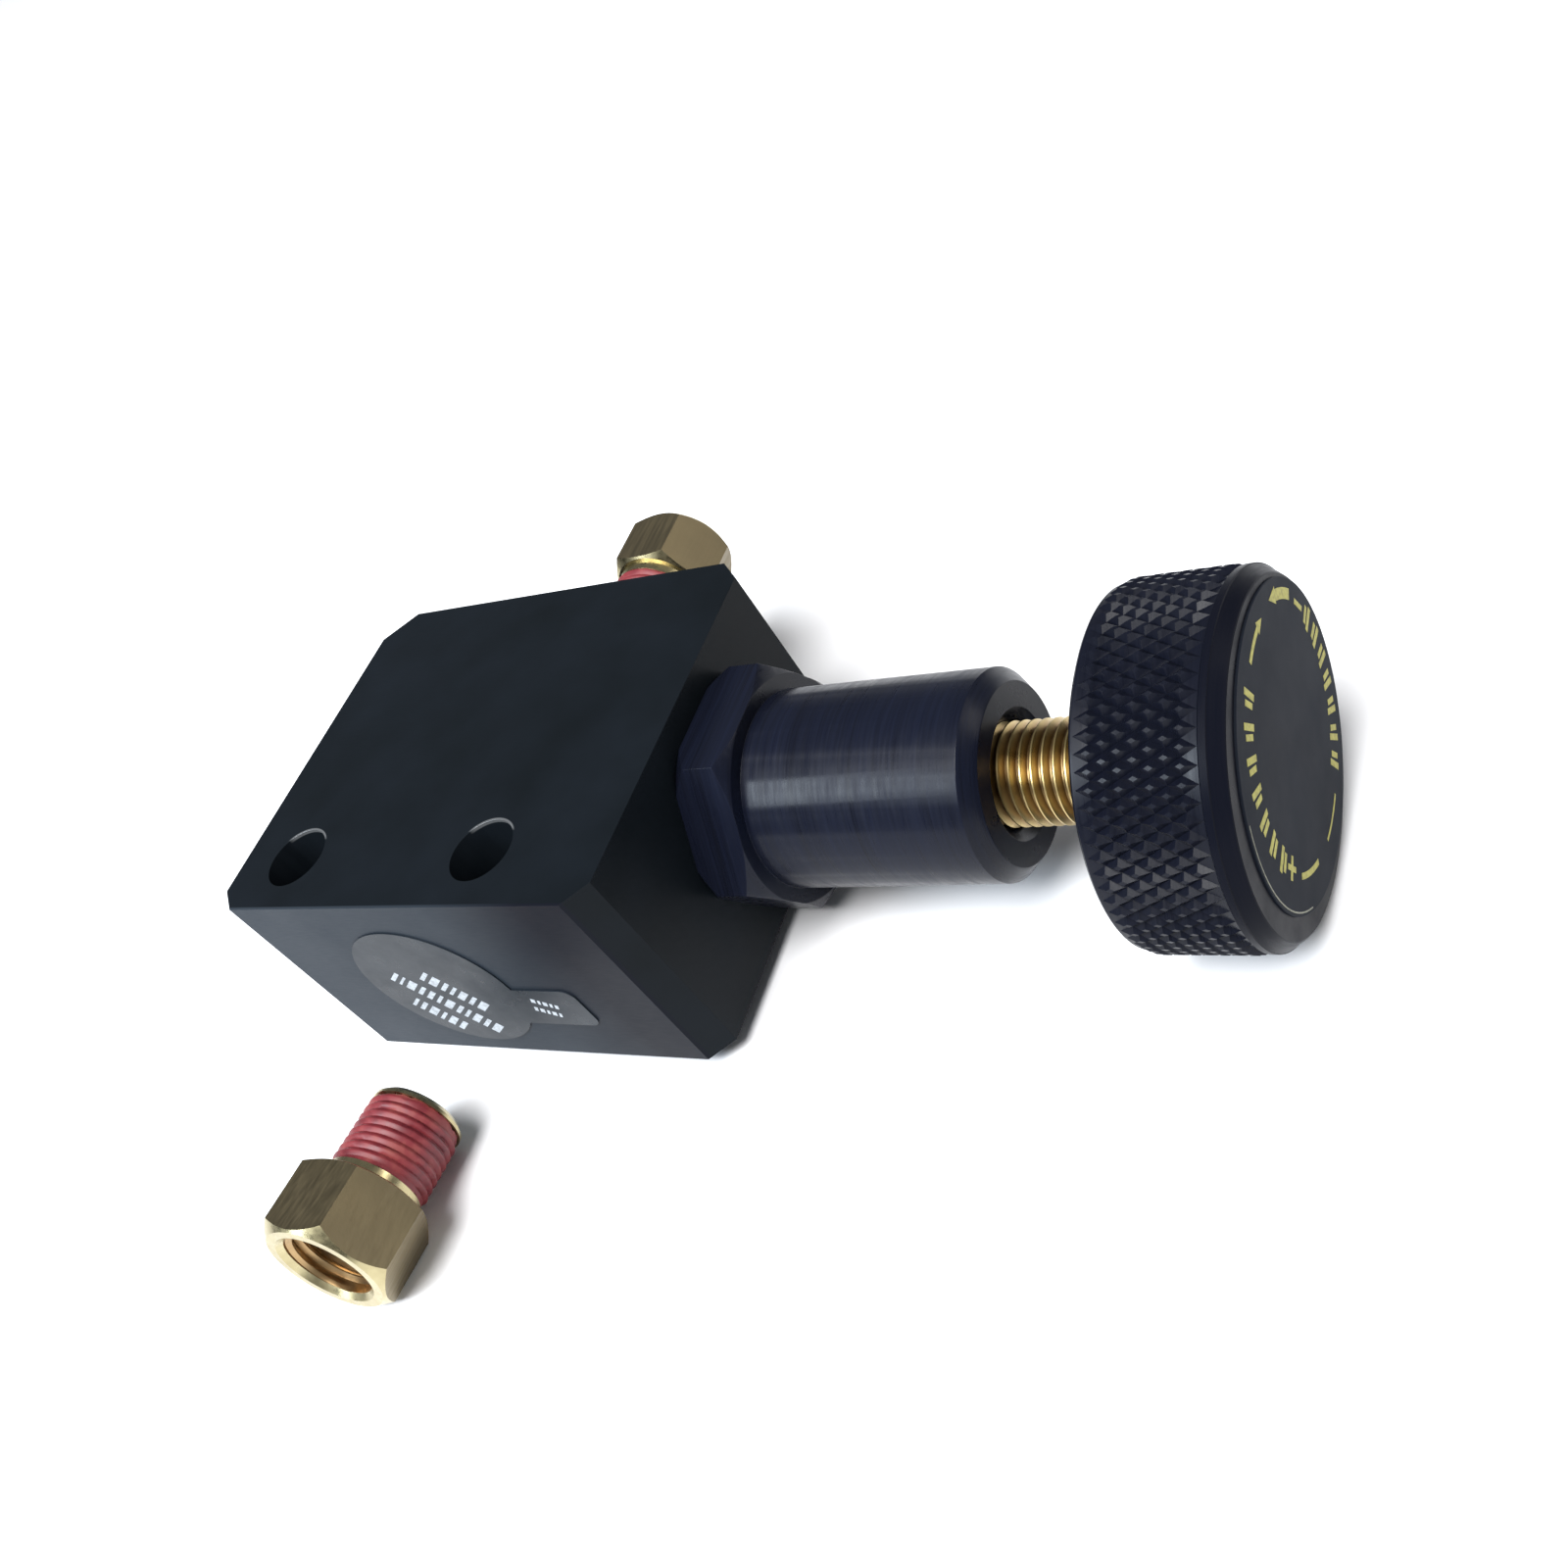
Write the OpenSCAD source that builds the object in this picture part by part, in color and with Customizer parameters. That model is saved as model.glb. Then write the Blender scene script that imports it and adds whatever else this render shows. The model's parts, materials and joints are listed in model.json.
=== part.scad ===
// Adjustable flow control (proportioning) valve for a hydraulic line.
// Origin: midway between the two mounting holes, on the base face.
// +X runs along the valve axis from the block to the knob, and +Z is up. Millimetres.

/* [Block] */
// Length of the block along the valve axis
block_len = 50.7; // [48:0.1:60]
// Width of the block across the valve axis
block_w = 42; // [41:0.5:50]
// Height of the block
block_h = 25.9; // [24.5:0.1:32]
// Chamfer on three of the upright corners
corner_chamfer = 2.4; // [0.5:0.1:3.5]
// Chamfer on the rear corner at the blind end
rear_chamfer = 3.6; // [0.5:0.1:4.5]
// Face of the block that the bonnet seats on, from the origin
bonnet_face_x = 29.05; // [28:0.05:32]
// Label face of the block, from the line through the mounting holes
label_face_y = -6.5; // [-8:0.1:-6]
// Valve axis, from the line through the mounting holes
axis_y = 17.1; // [16:0.1:19]
// Valve axis, above the base
axis_z = 11.93; // [11.8:0.01:14]

/* [Mounting holes] */
// Distance between the two mounting holes
hole_span = 26.7; // [24:0.1:30]
// Diameter of each mounting hole
hole_d = 7.2; // [5:0.1:7.6]

/* [Knob] */
// Diameter over the knurl
knob_d = 31.75; // [29.8:0.05:34]
// Length of the knob
knob_len = 12.3; // [12:0.1:16]
// Clear length of stem between the bonnet and the knob
stem_gap = 11.43; // [9:0.01:14]
// Diameter of the label on the knob's face
label_d = 27.4; // [20:0.1:27.5]
// How far the label sits off the knob's centre
label_shift = 1.1; // [0:0.1:1.2]

/* [Stem] */
// Major diameter of the stem's thread
stem_d = 9.525; // [8:0.005:10]

/* [Bonnet] */
// Width across the flats of the bonnet's hexagon
bonnet_af = 22.22; // [21:0.02:24]
// Thickness of the hexagon
bonnet_hex_len = 6; // [5:0.1:8]
// Diameter of the round barrel
barrel_d = 19.4; // [18.5:0.1:20.5]
// Length of the bonnet outside the block
bonnet_len = 29.8; // [29.4:0.1:32]

/* [Fittings] */
// Width across the flats of the inlet fitting's hexagon
inlet_af = 13; // [12:0.1:14]
// Length of the inlet fitting's hexagon
inlet_hex_len = 8.2; // [8:0.1:11]
// Width across the flats of the outlet fitting's hexagon
outlet_af = 11.11; // [11:0.01:14]
// Length of the outlet fitting's hexagon
outlet_hex_len = 7.2; // [7.2:0.1:11]
// Length of a fitting's pipe thread
pipe_len = 10; // [9:0.1:10.5]
// Diameter over the pipe thread
pipe_d = 10.28; // [10:0.02:10.4]
// Diameter of the tube nut's thread
tube_d = 9.525; // [8:0.005:9.6]
// Pipe thread of the outlet fitting left showing
outlet_gap = 6; // [2:0.1:7]
// Outlet port, from the middle of the mounting holes along X
outlet_x = 10.85; // [10.5:0.05:11.5]
// Outlet port, above the base
outlet_z = 18.2; // [17.5:0.05:18.5]
// Turn of the outlet fitting's hexagon
outlet_roll = 0.8; // [0:0.1:59]
// Loose inlet fitting: middle of its thread's root plane, along X
loose_x = -2.95; // [-8:0.05:4]
// Loose inlet fitting: middle of its thread's root plane, along Y
loose_y = -26.83; // [-40:0.01:-24]
// Loose inlet fitting: angle off square to the label face
loose_yaw = -1.45; // [-15:0.05:15]

/* [Port sticker] */
// Diameter of the round sticker over the inlet port
sticker_d = 19.6; // [14:0.1:22]
// Reach of its lifting tab from the sticker's centre
tab_reach = 17.45; // [12:0.05:20]
// Height of its lifting tab
tab_h = 6.1; // [3:0.1:9]

/* [Hidden] */
$fn = 64;
eps = 0.05;
slip = 0.05; // radial clearance of a thread or of a sliding rod

// Block
block_x0 = bonnet_face_x - block_len;
far_face_y = label_face_y + block_w;
block_outline = [
  [block_x0 + corner_chamfer, label_face_y], [bonnet_face_x - corner_chamfer, label_face_y],
  [bonnet_face_x, label_face_y + corner_chamfer], [bonnet_face_x, far_face_y - corner_chamfer],
  [bonnet_face_x - corner_chamfer, far_face_y], [block_x0 + rear_chamfer, far_face_y],
  [block_x0, far_face_y - rear_chamfer], [block_x0, label_face_y + corner_chamfer]];

// Bores along the valve axis, from the blind end outwards
tail_x = -13;
chamber_x = -9;
seal_x = 3;
insert_x = 5;
outlet_chamber_x = 7.2;
thread_x = bonnet_face_x - 11;
tail_r = 2;
chamber_r = 5.2;
seal_r = 6.6;
insert_r = 7.5;
insert_hole_r = 3.4;
seal_hole_r = 3.3;
bonnet_thread_r = 9.525;
ring_seat_r = 10.9;
ring_seat_depth = 1.65;
face_ring = [9.75, 0.8]; // middle radius, section radius

// Ports
pipe_r = pipe_d / 2;
port_r = pipe_r + slip;
port_depth = 9.5;
port_cone = 1.5;
inlet_drill_r = 2.6;
outlet_drill_r = 2.4;

// Piston and its guide
stroke = 1.95;
tail_clear = 0.5;
rod_r = 2.95;
neck_r = 2.2;
head_r = 3.9;
head_len = 2;
shoulder_r = 2.6;
bush_x = bonnet_face_x - 8.95;
bush_len = 7;
bush_r = 6.86;
bush_end_x = bush_x + bush_len;
inner_groove = [0.8, 2.0, 4.9]; // start along the bush, width, radius
outer_groove = [3.9, 2.0, 5.2];
seat_x = bush_end_x + 0.3;
seat_r = 6.2;
seat_len = 1.6;
hub_len = 2;
hub_r = 3.6;
rod_ring_r = 0.9;
guide_ring = [6.05, 0.82]; // middle radius, section radius

// Bonnet
hex_r = bonnet_af / sqrt(3);
hex_root_r = 11.7;
hex_rear_chamfer = 1.6;
hex_front_chamfer = 1.1;
hex_front_r = 11.2;
barrel_r = barrel_d / 2;
barrel_chamfer = 1.37;
spigot_len = 10.5;
undercut_r = 8.6;
undercut_len = 1.85;
bonnet_end_x = bonnet_face_x + bonnet_len;
front_wall = 6.85;
spring_room_r = 6.6;
clip_groove_x = bush_x - 1.1;
clip_groove_r = 7.6;
clip_inner_r = 5.7;
clip_len = 1;
clip_ear = [-5.4, 2.2]; // from the axis down, to either side
clip_ear_r = 1.3;
clip_hole_r = 0.6;
clip_gap = 2.4;
mouth_r = 6;

// Stem, button and spring
stem_r = stem_d / 2;
ball_r = 2.38;
stem_x0 = bonnet_end_x - 8.65;
ball_socket = 1.8;
ball_x = stem_x0 + ball_socket - ball_r - 0.04;
button_x1 = stem_x0 - 1.3;
button_cup_x = ball_x - ball_r;
button_len = 2.6;
button_x0 = button_x1 - button_len;
pilot_len = 2.8;
pilot_r = 4.2;
wire_r = 0.65;
coil_r = 5.3;
coil_turns = 5.5;
coil_x0 = seat_x + seat_len + wire_r;
coil_x1 = button_x0 - wire_r;

// Knob
knob_r = knob_d / 2;
knob_x0 = bonnet_end_x + stem_gap;
knob_x1 = knob_x0 + knob_len;
knob_round = 1;
knob_bevel = [1.2, 1]; // along the axis, across it
knob_bore_len = 10;
label_thick = 0.2;
screw_r = 2.05;
screw_len = 6;
screw_x = knob_x0 + 5;
screw_turn = -45;
screw_socket = [1.15, 2.5]; // radius over corners, depth

// Fittings
fitting_chamfer = [0.15, 0.75]; // across the flats, along the corners
tube_r = tube_d / 2;
tube_depth = 7;
flare_h = 1.6;
flare_r = 3.4;
relief_r = 4.95;
mouth_chamfer = 0.6;
way_r = 1.75;
way_wide_r = 2.6;
pipe_end_chamfer = 0.6;
sealant_thick = 0.06;

// Table that the valve and the loose fitting lie on
table_tilt = atan((knob_r - axis_z) / (knob_x0 + knob_round - block_x0));
loose_lift = atan((inlet_af / 2 - pipe_r) / pipe_len);
loose_z = inlet_af / 2 * cos(loose_lift) / cos(table_tilt) - tan(table_tilt) * (loose_x - block_x0);

// Sticker
sticker_thick = 0.15;
sticker_gap = 0.02;

// Puts a shape that is drawn up +Z on the valve axis, from x towards the knob
module on_axis(x = 0) {
  translate([x, axis_y, axis_z]) rotate([0, 90, 0]) children();
}

// Round bar on the valve axis from x0 to x1
module bar(x0, x1, r) {
  on_axis(x0) cylinder(r = r, h = x1 - x0);
}

// Ring of round section on the valve axis
module o_ring(x, r_mid, r_section) {
  on_axis(x) rotate_extrude() translate([r_mid, 0]) circle(r = r_section, $fn = 24);
}

// Port drilled into a face that looks along -Z: pipe thread, cone and drill
module port(drill_r, drill_len) {
  translate([0, 0, -eps]) cylinder(r = port_r, h = port_depth + eps);
  translate([0, 0, port_depth]) cylinder(r1 = port_r, r2 = drill_r, h = port_cone);
  cylinder(r = drill_r, h = drill_len);
}

module body_block() {
  color("#17191f") difference() {
    linear_extrude(block_h) polygon(block_outline);
    for (side = [-1, 1])
      translate([side * hole_span / 2, 0, -eps]) cylinder(r = hole_d / 2, h = block_h + 2 * eps);
    bar(tail_x, chamber_x + eps, tail_r + slip);
    bar(chamber_x, seal_x + eps, chamber_r);
    bar(seal_x, insert_x + eps, seal_r);
    bar(insert_x, thread_x + eps, insert_r);
    bar(thread_x, bonnet_face_x + eps, bonnet_thread_r + slip);
    bar(bonnet_face_x - ring_seat_depth, bonnet_face_x + eps, ring_seat_r);
    translate([0, label_face_y, axis_z]) rotate([-90, 0, 0])
      port(inlet_drill_r, axis_y - label_face_y);
    translate([outlet_x, far_face_y, outlet_z]) rotate([90, 0, 0])
      port(outlet_drill_r, far_face_y - axis_y - 2.5);
  }
}

module seat_insert() {
  color("#b08d3c") on_axis(insert_x) difference() {
    cylinder(r = insert_r - 0.02, h = outlet_chamber_x - insert_x);
    translate([0, 0, -eps]) cylinder(r = insert_hole_r, h = outlet_chamber_x);
  }
}

module poppet_seal() {
  color("#101010") on_axis(seal_x) difference() {
    cylinder(r = seal_r - 0.02, h = insert_x - seal_x);
    translate([0, 0, -eps]) cylinder(r = seal_hole_r, h = insert_x);
  }
}

// Hexagon of the bonnet, bevelled to a circle at both ends
module bonnet_hex() {
  on_axis(bonnet_face_x) intersection() {
    rotate(30) cylinder(r = hex_r, h = bonnet_hex_len, $fn = 6);
    rotate_extrude() polygon([[0, 0], [hex_root_r, 0], [hex_r + eps, hex_rear_chamfer],
      [hex_r + eps, bonnet_hex_len - hex_front_chamfer], [hex_front_r, bonnet_hex_len],
      [0, bonnet_hex_len]]);
  }
}

module bonnet() {
  color("#1b1e28") difference() {
    union() {
      bar(bonnet_face_x - spigot_len, bonnet_face_x - undercut_len, bonnet_thread_r);
      bar(bonnet_face_x - undercut_len - eps, bonnet_face_x + eps, undercut_r);
      bonnet_hex();
      bar(bonnet_face_x + bonnet_hex_len - eps, bonnet_end_x - barrel_chamfer, barrel_r);
      on_axis(bonnet_end_x - barrel_chamfer)
        cylinder(r1 = barrel_r, r2 = barrel_r - barrel_chamfer, h = barrel_chamfer);
    }
    bar(bonnet_face_x - spigot_len - eps, bush_end_x, bush_r + slip);
    bar(clip_groove_x, bush_x, clip_groove_r);
    bar(bush_end_x - eps, bonnet_end_x - front_wall, spring_room_r);
    bar(bonnet_end_x - front_wall - eps, bonnet_end_x + eps, stem_r + slip);
    on_axis(bonnet_end_x - (mouth_r - stem_r))
      cylinder(r1 = stem_r, r2 = mouth_r + eps, h = mouth_r - stem_r + eps);
  }
}

module bonnet_o_ring() {
  color("#101010") o_ring(bonnet_face_x - ring_seat_depth / 2, face_ring[0], face_ring[1]);
}

module piston_guide() {
  color("#b08d3c") on_axis(bush_x) difference() {
    cylinder(r = bush_r, h = bush_len);
    translate([0, 0, -eps]) cylinder(r = rod_r + slip, h = bush_len + 2 * eps);
    translate([0, 0, inner_groove[0]]) cylinder(r = inner_groove[2], h = inner_groove[1]);
    translate([0, 0, outer_groove[0]]) difference() {
      cylinder(r = bush_r + 1, h = outer_groove[1]);
      cylinder(r = outer_groove[2], h = outer_groove[1]);
    }
  }
}

module rod_o_ring() {
  color("#101010") o_ring(bush_x + inner_groove[0] + inner_groove[1] / 2, rod_r + slip + rod_ring_r,
    rod_ring_r);
}

module guide_o_ring() {
  color("#101010") o_ring(bush_x + outer_groove[0] + outer_groove[1] / 2, guide_ring[0], guide_ring[1]);
}

module retaining_ring() {
  color("#8b8f94") on_axis(clip_groove_x + slip) linear_extrude(clip_len) difference() {
    union() {
      difference() {
        circle(r = clip_groove_r - 2 * slip);
        circle(r = clip_inner_r);
      }
      for (side = [-1, 1]) translate([clip_ear[0], side * clip_ear[1]]) circle(r = clip_ear_r);
    }
    translate([-clip_groove_r - 1, -clip_gap / 2]) square([4, clip_gap]);
    for (side = [-1, 1]) translate([clip_ear[0], side * clip_ear[1]]) circle(r = clip_hole_r);
  }
}

module piston() {
  color("#c9ccd0") {
    bar(tail_x + tail_clear, chamber_x + slip, tail_r);
    bar(chamber_x + slip, seal_x - stroke - head_len, shoulder_r);
    bar(seal_x - stroke - head_len, seal_x - stroke, head_r);
    bar(seal_x - stroke, thread_x, neck_r);
    bar(thread_x, seat_x, rod_r);
    bar(seat_x, seat_x + seat_len + hub_len, neck_r);
  }
}

module lower_spring_seat() {
  color("#8b8f94") difference() {
    union() {
      bar(seat_x, seat_x + seat_len, seat_r);
      bar(seat_x, seat_x + seat_len + hub_len, hub_r);
    }
    bar(seat_x - eps, seat_x + seat_len + hub_len + eps, neck_r + slip);
  }
}

// Point on the wire's surface: i counts steps along the coil, j round the wire
coil_steps = 110;
wire_sides = 8;
function wire_point(i, j) =
  let (t = i / coil_steps, turn = 360 * coil_turns * t, a = 360 * j / wire_sides,
       r = coil_r + wire_r * cos(a))
  [coil_x0 + (coil_x1 - coil_x0) * t + wire_r * sin(a), axis_y + r * cos(turn), axis_z + r * sin(turn)];

module preload_spring() {
  points = [for (i = [0:coil_steps], j = [0:wire_sides - 1]) wire_point(i, j)];
  sides = [for (i = [0:coil_steps - 1], j = [0:wire_sides - 1])
    let (k = (j + 1) % wire_sides, a = i * wire_sides, b = a + wire_sides) [a + j, b + j, b + k, a + k]];
  first = [for (j = [0:wire_sides - 1]) j];
  last = [for (j = [wire_sides - 1:-1:0]) coil_steps * wire_sides + j];
  color("#9a9da2") polyhedron(points, concat(sides, [first, last]), convexity = 10);
}

module spring_button() {
  color("#8b8f94") difference() {
    union() {
      bar(button_x0, button_x1, seat_r);
      bar(button_x0 - pilot_len, button_x0 + eps, pilot_r);
    }
    bar(button_cup_x, button_x1 + eps, ball_r + slip);
  }
}

module thrust_ball() {
  color("#d5d8dc") on_axis(ball_x) sphere(r = ball_r);
}

module adjusting_stem() {
  end = 0.6;
  stem_x1 = knob_x0 + knob_bore_len - 0.3;
  color("#c19a46") difference() {
    union() {
      on_axis(stem_x0) cylinder(r1 = stem_r - end, r2 = stem_r, h = end);
      bar(stem_x0 + end, stem_x1 - end, stem_r);
      on_axis(stem_x1 - end) cylinder(r1 = stem_r, r2 = stem_r - end, h = end);
    }
    bar(stem_x0 - eps, stem_x0 + ball_socket, ball_r + 2 * slip);
  }
}

// Moves a shape drawn up +Z to the knob's cross hole, pointing away from the axis
module at_knob_screw() {
  translate([screw_x, axis_y, axis_z]) rotate([screw_turn - 90, 0, 0]) children();
}

module knob() {
  arc = [for (a = [180:15:270])
    [knob_r - knob_round - knob_round * sin(a), knob_round + knob_round * cos(a)]];
  bevel = [[knob_r, knob_len - knob_bevel[0]], [knob_r - knob_bevel[1], knob_len]];
  color("#14161d") difference() {
    on_axis(knob_x0) rotate_extrude($fn = 128) polygon(concat([[0, 0]], arc, bevel, [[0, knob_len]]));
    bar(knob_x0 - eps, knob_x0 + knob_bore_len, stem_r + slip);
    at_knob_screw() cylinder(r = screw_r + slip, h = knob_r + 1);
  }
}

module knob_set_screw() {
  color("#3a3d42") at_knob_screw() translate([0, 0, stem_r + slip]) difference() {
    cylinder(r = screw_r, h = screw_len);
    translate([0, 0, screw_len - screw_socket[1]])
      cylinder(r = screw_socket[0], h = screw_len, $fn = 6);
  }
}

module knob_label() {
  color("#474d59") translate([0, label_shift, 0]) bar(knob_x1, knob_x1 + label_thick, label_d / 2);
}

// Adapter fitting: pipe thread down -Z, hexagon up +Z, inverted flare socket in its mouth
module fitting(af, hex_len) {
  corner_r = af / sqrt(3);
  face_r = af / 2 - fitting_chamfer[0];
  chamfer_len = fitting_chamfer[1];
  socket_z = hex_len - tube_depth;
  difference() {
    union() {
      translate([0, 0, -pipe_len + pipe_end_chamfer])
        cylinder(r = pipe_r, h = pipe_len - pipe_end_chamfer + eps);
      translate([0, 0, -pipe_len])
        cylinder(r1 = pipe_r - pipe_end_chamfer, r2 = pipe_r, h = pipe_end_chamfer);
      intersection() {
        cylinder(r = corner_r, h = hex_len, $fn = 6);
        rotate_extrude() polygon([[0, 0], [face_r, 0], [corner_r + eps, chamfer_len],
          [corner_r + eps, hex_len - chamfer_len], [face_r, hex_len], [0, hex_len]]);
      }
    }
    translate([0, 0, -pipe_len - eps]) cylinder(r = way_wide_r, h = pipe_len - 2);
    translate([0, 0, -3]) cylinder(r = way_r, h = hex_len);
    translate([0, 0, socket_z + flare_h]) cylinder(r = tube_r, h = tube_depth - flare_h + eps);
    translate([0, 0, socket_z]) difference() {
      cylinder(r = relief_r, h = flare_h);
      cylinder(r1 = flare_r, r2 = flare_r - flare_h, h = flare_h);
    }
    translate([0, 0, hex_len - mouth_chamfer])
      cylinder(r1 = tube_r, r2 = tube_r + mouth_chamfer + eps, h = mouth_chamfer + eps);
  }
}

// Thread sealant over the pipe thread between two heights
module sealant(z0, z1) {
  translate([0, 0, z0]) difference() {
    cylinder(r = pipe_r + sealant_thick, h = z1 - z0);
    translate([0, 0, -eps]) cylinder(r = pipe_r, h = z1 - z0 + 2 * eps);
  }
}

module at_outlet() {
  translate([outlet_x, far_face_y + outlet_gap, outlet_z])
    rotate([-90, 0, 0]) rotate(-outlet_roll) children();
}

module at_loose() {
  translate([loose_x, loose_y, loose_z])
    rotate([0, 0, -loose_yaw]) rotate([0, table_tilt, 0]) rotate([90 - loose_lift, 0, 0]) children();
}

module outlet_fitting() {
  color("#a08a52") at_outlet() fitting(outlet_af, outlet_hex_len);
}

module outlet_sealant() {
  color("#c8404f") at_outlet() sealant(-outlet_gap + 0.1, -0.5);
}

module inlet_fitting() {
  color("#a08a52") at_loose() fitting(inlet_af, inlet_hex_len);
}

module inlet_sealant() {
  color("#c8404f") at_loose() sealant(-pipe_len + 1, -0.5);
}

module inlet_port_sticker() {
  color("#8d9196") translate([0, label_face_y - sticker_gap, axis_z]) rotate([90, 0, 0])
    linear_extrude(sticker_thick) union() {
      circle(d = sticker_d);
      translate([0, -tab_h]) square([tab_reach, tab_h]);
    }
}

body_block();
seat_insert();
poppet_seal();
bonnet();
bonnet_o_ring();
piston_guide();
rod_o_ring();
guide_o_ring();
retaining_ring();
piston();
lower_spring_seat();
preload_spring();
spring_button();
thrust_ball();
adjusting_stem();
knob();
knob_set_screw();
knob_label();
outlet_fitting();
outlet_sealant();
inlet_fitting();
inlet_sealant();
inlet_port_sticker();
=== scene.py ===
import json
import math
import bpy
import bmesh
from mathutils import Matrix, Vector, noise


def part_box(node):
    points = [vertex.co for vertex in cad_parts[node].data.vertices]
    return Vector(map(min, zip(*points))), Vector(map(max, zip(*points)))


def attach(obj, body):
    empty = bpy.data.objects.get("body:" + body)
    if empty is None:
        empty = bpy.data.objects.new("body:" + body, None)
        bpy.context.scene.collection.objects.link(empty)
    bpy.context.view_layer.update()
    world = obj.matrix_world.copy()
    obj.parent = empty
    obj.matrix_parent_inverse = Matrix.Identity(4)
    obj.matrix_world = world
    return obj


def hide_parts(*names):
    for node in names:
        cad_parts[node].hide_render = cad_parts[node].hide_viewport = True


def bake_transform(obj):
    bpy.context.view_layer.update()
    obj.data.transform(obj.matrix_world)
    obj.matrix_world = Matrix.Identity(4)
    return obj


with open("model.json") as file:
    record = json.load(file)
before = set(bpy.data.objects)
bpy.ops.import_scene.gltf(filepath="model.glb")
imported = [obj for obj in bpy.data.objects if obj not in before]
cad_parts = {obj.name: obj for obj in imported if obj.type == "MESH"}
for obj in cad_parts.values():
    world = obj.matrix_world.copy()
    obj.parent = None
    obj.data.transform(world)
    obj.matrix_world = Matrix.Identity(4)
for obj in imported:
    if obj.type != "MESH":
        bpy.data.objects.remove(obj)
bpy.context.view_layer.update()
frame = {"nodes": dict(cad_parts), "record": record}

MM = 0.001
TAU = 2 * math.pi
QUARTER = math.pi / 2
SHARP = math.radians(28)

# ---------------------------------------------------------------- places and sizes from the frame
MOUNTS = {m["name"]: m for m in frame["record"]["mounts"]}
BLOCK_LO, BLOCK_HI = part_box("body_block")
STEM_LO, STEM_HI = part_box("adjusting_stem")
KNOB_LO, KNOB_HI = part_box("knob")
LABEL_LO, LABEL_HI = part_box("knob_label")
STICKER_LO, STICKER_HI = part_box("inlet_port_sticker")
SPRING_LO, SPRING_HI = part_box("preload_spring")
AXIS_Y = (STEM_LO.y + STEM_HI.y) / 2
AXIS_Z = (STEM_LO.z + STEM_HI.z) / 2
STEM_R = (STEM_HI.y - STEM_LO.y) / 2
KNOB_R = (KNOB_HI.z - KNOB_LO.z) / 2
LABEL_R = (LABEL_HI.z - LABEL_LO.z) / 2

HOLE_X = MOUNTS["mounting_holes"]["dims"]["spacing_x_mm"] / 2 * MM
HOLE_R = MOUNTS["mounting_holes"]["dims"]["hole_r_mm"] * MM

# Threads: pitch, depth
UNF_PITCH = 1.0583 * MM
UNF_DEPTH = 0.62 * MM
PIPE_PITCH = 0.9407 * MM
PIPE_DEPTH = 0.70 * MM

# Fittings, in their own frame: the hexagon runs up from 0 and the pipe thread down to -PIPE_LEN.
# A hexagon is its width across the flats and its length.
INLET_HEX = (13.0 * MM, 8.2 * MM)
OUTLET_HEX = (11.11 * MM, 7.2 * MM)
PIPE_LEN = 10.0 * MM
PIPE_R = MOUNTS["inlet_fitting_thread"]["dims"]["r_mm"] * MM
PIPE_TAPER = 1 / 64
TUBE_R = MOUNTS["inlet_tube_port"]["dims"]["r_mm"] * MM
OUTLET_ROLL = math.radians(-0.8)
OUTLET_GAP = 6.0 * MM

# The table touches the block's lower edge and the knob's rear edge. The loose fitting rests on its
# hexagon's rear edge and on the end of its thread.
TABLE_TILT = math.atan((BLOCK_LO.z - KNOB_LO.z) / (KNOB_LO.x + 1.0 * MM - BLOCK_LO.x))
LOOSE_LIFT = math.atan((INLET_HEX[0] / 2 - PIPE_R) / PIPE_LEN)
LOOSE_YAW = math.radians(1.45)


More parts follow.
